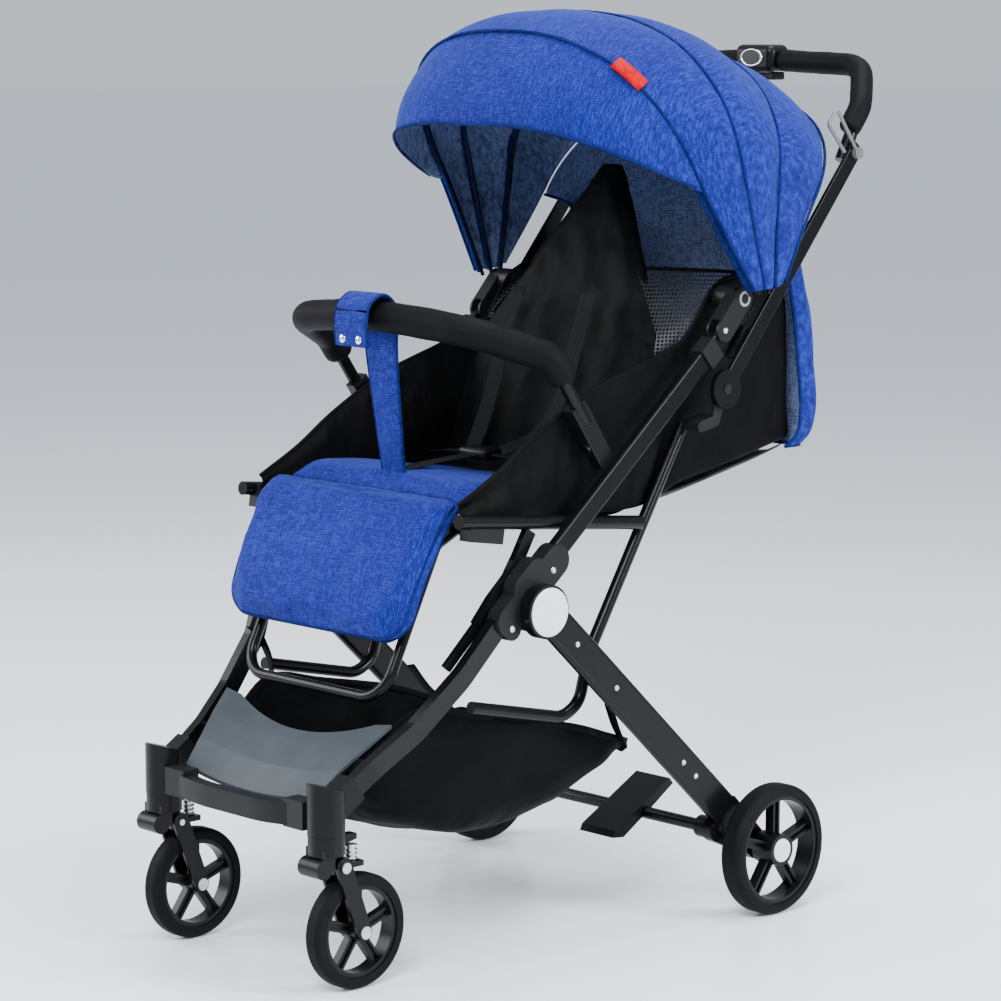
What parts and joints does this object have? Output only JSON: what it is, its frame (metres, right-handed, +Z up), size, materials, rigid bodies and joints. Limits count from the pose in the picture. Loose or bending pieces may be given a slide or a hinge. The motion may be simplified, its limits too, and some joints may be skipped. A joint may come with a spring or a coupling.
{
  "type": "baby stroller",
  "caption": "Folding child's pushchair with crossed frame legs, swivel front casters, hooded canopy, padded seat, front bar, calf rest and under-seat basket",
  "frame": {"origin": "centre of the whole stroller's bounding box in X and Y, on the floor under the wheels", "axes": "+Z up, the stroller's front faces -Y, +X is the seated child's left"},
  "size_m": [0.525, 0.879, 1.0424],
  "materials": {
    "frame": "satin black powder coat",
    "bracket": "satin dark grey-green",
    "disc": "satin pale silver",
    "plastic": "fine matte texture",
    "footrest": "dark grey-blue, satin",
    "tyre": "matte foam rubber",
    "rim": "satin black",
    "cap": "satin pale silver",
    "steel": "zinc plated",
    "hook": "satin grey",
    "foam": "closed-cell foam, matte",
    "canopy": "heathered royal-blue woven",
    "seat": "heathered denim-blue woven",
    "lining": "black satin woven",
    "webbing": "woven tape",
    "basket": "black woven"
  },
  "bodies": {
    "chassis": {"main_tubes": "frame", "front_tubes": "frame", "cross_castings": "bracket", "cross_discs": "disc", "caster_heads": "plastic", "upper_brackets": "bracket", "frame_rivets": "steel", "frame_sleeves": "bracket", "seat_frame": "frame", "rear_links": "frame", "fold_tabs": "bracket", "front_crossbar": "plastic", "footrest_plate": "footrest", "bumper_mounts": "plastic", "side_panels": "lining", "seat_cushion": "seat", "crotch_strap": "canopy", "harness": "webbing", "basket": "basket", "seat_boot": "lining"},
    "rear_frame": {"rear_legs": "frame", "rear_feet": "plastic", "rear_axles": "cap", "leg_rivets": "steel"},
    "brake": {"brake_bar": "frame", "brake_pedal": "plastic"},
    "push_frame": {"push_arms": "frame", "handle_tube": "frame", "handle_foams": "foam", "handle_housing": "plastic", "canopy_rear": "canopy"},
    "fold_trigger": {"fold_trigger": "plastic", "release_rod": "steel"},
    "latch_hook": {"latch_hook": "hook"},
    "front_bow": {"canopy_bow_front": "frame", "canopy_front": "canopy"},
    "mid_bow": {"canopy_bow_mid": "frame"},
    "rear_bow": {"canopy_bow_rear": "frame"},
    "backrest": {"backrest": "lining"},
    "leg_rest": {"leg_rest_tube": "frame", "leg_rest_pad": "seat"},
    "bumper": {"bumper_tube": "frame", "bumper_foam": "foam"},
    "bumper_buttons": {"bumper_buttons": "plastic"},
    "left_rear_wheel": {"left_rear_tyre": "tyre", "left_rear_rim": "rim"},
    "left_swivel": {"left_swivel_block": "plastic", "left_caster_spring": "steel"},
    "left_fork": {"left_caster_fork": "plastic", "left_fork_bolts": "steel"},
    "left_front_wheel": {"left_front_tyre": "tyre", "left_front_rim": "rim"},
    "right_rear_wheel": {"right_rear_tyre": "tyre", "right_rear_rim": "rim"},
    "right_swivel": {"right_swivel_block": "plastic", "right_caster_spring": "steel"},
    "right_fork": {"right_caster_fork": "plastic", "right_fork_bolts": "steel"},
    "right_front_wheel": {"right_front_tyre": "tyre", "right_front_rim": "rim"}
  },
  "joints": [
    {"name": "rear_leg_fold", "type": "hinge", "parent": "chassis", "child": "rear_frame", "pos_m": [0, -0.1616, 0.3955], "axis": [-1, 0, 0], "range_deg": [0, 55]},
    {"name": "push_bar_fold", "type": "hinge", "parent": "chassis", "child": "push_frame", "pos_m": [0, 0.1294, 0.617], "axis": [-1, 0, 0], "range_deg": [0, 99]},
    {"name": "canopy_fold", "type": "hinge", "parent": "push_frame", "child": "front_bow", "pos_m": [0, 0.1624, 0.717], "axis": [-1, 0, 0], "range_deg": [0, 50], "deforming": ["canopy_front", "canopy_rear"]},
    {"name": "mid_bow_fold", "type": "hinge", "parent": "push_frame", "child": "mid_bow", "pos_m": [0, 0.1754, 0.717], "axis": [-1, 0, 0], "range_deg": [0, 40]},
    {"name": "rear_bow_fold", "type": "hinge", "parent": "push_frame", "child": "rear_bow", "pos_m": [0, 0.1884, 0.717], "axis": [-1, 0, 0], "range_deg": [0, 28]},
    {"name": "backrest_recline", "type": "hinge", "parent": "chassis", "child": "backrest", "pos_m": [0, 0.0094, 0.492], "axis": [-1, 0, 0], "range_deg": [0, 40], "deforming": ["seat_boot"]},
    {"name": "leg_rest_lift", "type": "hinge", "parent": "chassis", "child": "leg_rest", "pos_m": [0, -0.1946, 0.482], "axis": [-1, 0, 0], "range_deg": [0, 45]},
    {"name": "bumper_pull", "type": "slide", "parent": "chassis", "child": "bumper", "axis": [0, -0.5682, 0.8229], "range_m": [0, 0.045], "deforming": ["crotch_strap"]},
    {"name": "bumper_button_press", "type": "slide", "parent": "chassis", "child": "bumper_buttons", "axis": [0, 0.8229, 0.5682], "range_m": [0, 0.0025], "stiffness_N_per_m": 400},
    {"name": "fold_trigger_pull", "type": "slide", "parent": "push_frame", "child": "fold_trigger", "axis": [0, 0.6527, 0.7576], "range_m": [0, 0.004], "stiffness_N_per_m": 500, "springref_m": -0.006},
    {"name": "latch_hook_swing", "type": "hinge", "parent": "push_frame", "child": "latch_hook", "pos_m": [0.217, 0.3494, 0.879], "axis": [1, 0, 0], "range_deg": [0, 85]},
    {"name": "brake_pedal_press", "type": "hinge", "parent": "rear_frame", "child": "brake", "pos_m": [0, 0.1144, 0.106], "axis": [-1, 0, 0], "range_deg": [0, 18]},
    {"name": "left_caster_swivel", "type": "hinge", "parent": "chassis", "child": "left_swivel", "pos_m": [0.14, -0.4116, 0.175], "axis": [0, 0, 1], "continuous": true},
    {"name": "left_fork_suspension", "type": "hinge", "parent": "left_swivel", "child": "left_fork", "pos_m": [0.14, -0.3996, 0.14], "axis": [1, 0, 0], "range_deg": [0, 5], "stiffness_Nm_per_rad": 20, "springref_deg": -4.58, "deforming": ["left_caster_spring"]},
    {"name": "left_front_wheel_spin", "type": "hinge", "parent": "left_fork", "child": "left_front_wheel", "pos_m": [0.14, -0.3716, 0.0635], "axis": [1, 0, 0], "continuous": true},
    {"name": "left_rear_wheel_spin", "type": "hinge", "parent": "rear_frame", "child": "left_rear_wheel", "pos_m": [0.246, 0.1814, 0.0767], "axis": [1, 0, 0], "continuous": true},
    {"name": "right_caster_swivel", "type": "hinge", "parent": "chassis", "child": "right_swivel", "pos_m": [-0.14, -0.4116, 0.175], "axis": [0, 0, 1], "continuous": true},
    {"name": "right_fork_suspension", "type": "hinge", "parent": "right_swivel", "child": "right_fork", "pos_m": [-0.14, -0.3996, 0.14], "axis": [1, 0, 0], "range_deg": [0, 5], "stiffness_Nm_per_rad": 20, "springref_deg": -4.58, "deforming": ["right_caster_spring"]},
    {"name": "right_front_wheel_spin", "type": "hinge", "parent": "right_fork", "child": "right_front_wheel", "pos_m": [-0.14, -0.3716, 0.0635], "axis": [1, 0, 0], "continuous": true},
    {"name": "right_rear_wheel_spin", "type": "hinge", "parent": "rear_frame", "child": "right_rear_wheel", "pos_m": [-0.246, 0.1814, 0.0767], "axis": [1, 0, 0], "continuous": true}
  ],
  "couplings": [
    {"joint": "push_bar_fold", "follows": "rear_leg_fold", "ratio": 1.8},
    {"joint": "mid_bow_fold", "follows": "canopy_fold", "ratio": 0.8},
    {"joint": "rear_bow_fold", "follows": "canopy_fold", "ratio": 0.56}
  ]
}
